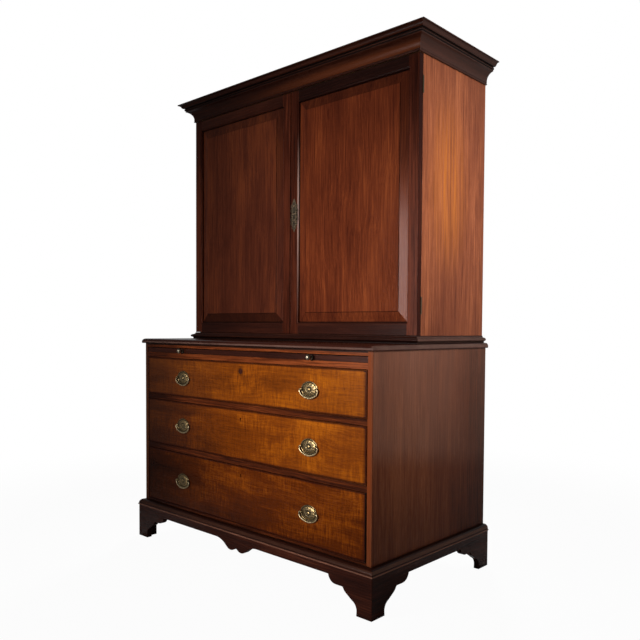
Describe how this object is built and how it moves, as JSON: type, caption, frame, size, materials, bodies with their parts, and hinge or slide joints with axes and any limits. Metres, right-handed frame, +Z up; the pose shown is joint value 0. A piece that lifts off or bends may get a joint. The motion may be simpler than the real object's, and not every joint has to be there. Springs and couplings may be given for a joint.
{
  "type": "linen press",
  "caption": "Linen cupboard with panelled doors on a chest of long drawers, with moulded cornice, brushing slide, oval bail pulls and bracket feet.",
  "frame": {"origin": "on the floor, in the middle of the overall width and depth", "axes": "+X to the right seen from the front, -Y out of the front, +Z up"},
  "size_m": [1.426, 0.716, 1.98],
  "materials": {
    "mahogany_drawer": "polished figured mahogany",
    "mahogany_door": "polished mahogany",
    "mahogany_dark": "dark polished mahogany",
    "oak_lining": "bare oak and pine",
    "aged_brass": "aged brass"
  },
  "bodies": {
    "carcass": {"chest_left_side": "mahogany_dark", "chest_right_side": "mahogany_dark", "chest_top": "mahogany_dark", "chest_bottom": "oak_lining", "chest_back": "oak_lining", "front_rails": "mahogany_dark", "drawer_runners": "oak_lining", "base_moulding": "mahogany_dark", "plinth_front": "mahogany_dark", "plinth_sides": "mahogany_dark", "foot_blocks": "oak_lining", "waist_moulding": "mahogany_dark", "cupboard_left_side": "mahogany_door", "cupboard_right_side": "mahogany_door", "cupboard_bottom": "mahogany_door", "cupboard_top": "oak_lining", "cupboard_back": "oak_lining", "shelves": "oak_lining", "shelf_bearers": "oak_lining", "cornice_frame": "oak_lining", "cornice_moulding": "mahogany_dark", "hinge_frame_leaves": "aged_brass"},
    "left_door": {"left_door_stiles": "mahogany_door", "left_door_rails": "mahogany_door", "left_door_panel": "mahogany_door", "left_door_hinge_leaves": "aged_brass", "left_door_bolt_plates": "aged_brass"},
    "right_door": {"right_door_stiles": "mahogany_door", "right_door_rails": "mahogany_door", "right_door_panel": "mahogany_door", "right_door_hinge_leaves": "aged_brass", "door_lock": "aged_brass", "door_escutcheon": "aged_brass"},
    "brushing_slide": {"brushing_slide": "mahogany_dark", "slide_knobs": "aged_brass"},
    "door_lock_bolt": {"door_lock_bolt": "aged_brass"},
    "left_door_top_bolt": {"left_door_top_bolt": "aged_brass"},
    "left_door_bottom_bolt": {"left_door_bottom_bolt": "aged_brass"},
    "top_drawer": {"top_drawer_front": "mahogany_drawer", "top_drawer_box": "oak_lining", "top_drawer_bottom": "oak_lining", "top_drawer_pulls": "aged_brass"},
    "middle_drawer": {"middle_drawer_front": "mahogany_drawer", "middle_drawer_box": "oak_lining", "middle_drawer_bottom": "oak_lining", "middle_drawer_pulls": "aged_brass", "middle_drawer_lock": "aged_brass"},
    "bottom_drawer": {"bottom_drawer_front": "mahogany_drawer", "bottom_drawer_box": "oak_lining", "bottom_drawer_bottom": "oak_lining", "bottom_drawer_pulls": "aged_brass", "bottom_drawer_lock": "aged_brass"},
    "top_drawer_left_bail": {"top_drawer_left_bail": "aged_brass"},
    "top_drawer_right_bail": {"top_drawer_right_bail": "aged_brass"},
    "middle_drawer_left_bail": {"middle_drawer_left_bail": "aged_brass"},
    "middle_drawer_right_bail": {"middle_drawer_right_bail": "aged_brass"},
    "middle_drawer_lock_bolt": {"middle_drawer_lock_bolt": "aged_brass"},
    "bottom_drawer_left_bail": {"bottom_drawer_left_bail": "aged_brass"},
    "bottom_drawer_right_bail": {"bottom_drawer_right_bail": "aged_brass"},
    "bottom_drawer_lock_bolt": {"bottom_drawer_lock_bolt": "aged_brass"}
  },
  "joints": [
    {"name": "left_door_hinge", "type": "hinge", "parent": "carcass", "child": "left_door", "pos_m": [-0.653, -0.05425, 1.4085], "axis": [0, 0, -1], "range_deg": [0, 170]},
    {"name": "right_door_hinge", "type": "hinge", "parent": "carcass", "child": "right_door", "pos_m": [0.653, -0.05425, 1.4085], "axis": [0, 0, 1], "range_deg": [0, 170]},
    {"name": "top_drawer_slide", "type": "slide", "parent": "carcass", "child": "top_drawer", "axis": [0, -1, 0], "range_m": [0, 0.48]},
    {"name": "middle_drawer_slide", "type": "slide", "parent": "carcass", "child": "middle_drawer", "axis": [0, -1, 0], "range_m": [0, 0.48]},
    {"name": "bottom_drawer_slide", "type": "slide", "parent": "carcass", "child": "bottom_drawer", "axis": [0, -1, 0], "range_m": [0, 0.48]},
    {"name": "brushing_slide_pull", "type": "slide", "parent": "carcass", "child": "brushing_slide", "axis": [0, -1, 0], "range_m": [0, 0.33]},
    {"name": "top_drawer_left_bail_swing", "type": "hinge", "parent": "top_drawer", "child": "top_drawer_left_bail", "pos_m": [-0.38, -0.337, 0.7265], "axis": [-1, 0, 0], "range_deg": [0, 85]},
    {"name": "top_drawer_right_bail_swing", "type": "hinge", "parent": "top_drawer", "child": "top_drawer_right_bail", "pos_m": [0.38, -0.337, 0.7265], "axis": [-1, 0, 0], "range_deg": [0, 85]},
    {"name": "middle_drawer_left_bail_swing", "type": "hinge", "parent": "middle_drawer", "child": "middle_drawer_left_bail", "pos_m": [-0.38, -0.337, 0.5255], "axis": [-1, 0, 0], "range_deg": [0, 85]},
    {"name": "middle_drawer_right_bail_swing", "type": "hinge", "parent": "middle_drawer", "child": "middle_drawer_right_bail", "pos_m": [0.38, -0.337, 0.5255], "axis": [-1, 0, 0], "range_deg": [0, 85]},
    {"name": "bottom_drawer_left_bail_swing", "type": "hinge", "parent": "bottom_drawer", "child": "bottom_drawer_left_bail", "pos_m": [-0.38, -0.337, 0.2905], "axis": [-1, 0, 0], "range_deg": [0, 85]},
    {"name": "bottom_drawer_right_bail_swing", "type": "hinge", "parent": "bottom_drawer", "child": "bottom_drawer_right_bail", "pos_m": [0.38, -0.337, 0.2905], "axis": [-1, 0, 0], "range_deg": [0, 85]},
    {"name": "door_lock_throw", "type": "slide", "parent": "right_door", "child": "door_lock_bolt", "axis": [-1, 0, 0], "range_m": [0, 0.009]},
    {"name": "left_door_top_bolt_throw", "type": "slide", "parent": "left_door", "child": "left_door_top_bolt", "axis": [0, 0, 1], "range_m": [0, 0.012]},
    {"name": "left_door_bottom_bolt_throw", "type": "slide", "parent": "left_door", "child": "left_door_bottom_bolt", "axis": [0, 0, -1], "range_m": [0, 0.02]},
    {"name": "middle_drawer_lock_throw", "type": "slide", "parent": "middle_drawer", "child": "middle_drawer_lock_bolt", "axis": [0, 0, 1], "range_m": [0, 0.009]},
    {"name": "bottom_drawer_lock_throw", "type": "slide", "parent": "bottom_drawer", "child": "bottom_drawer_lock_bolt", "axis": [0, 0, 1], "range_m": [0, 0.009]}
  ]
}
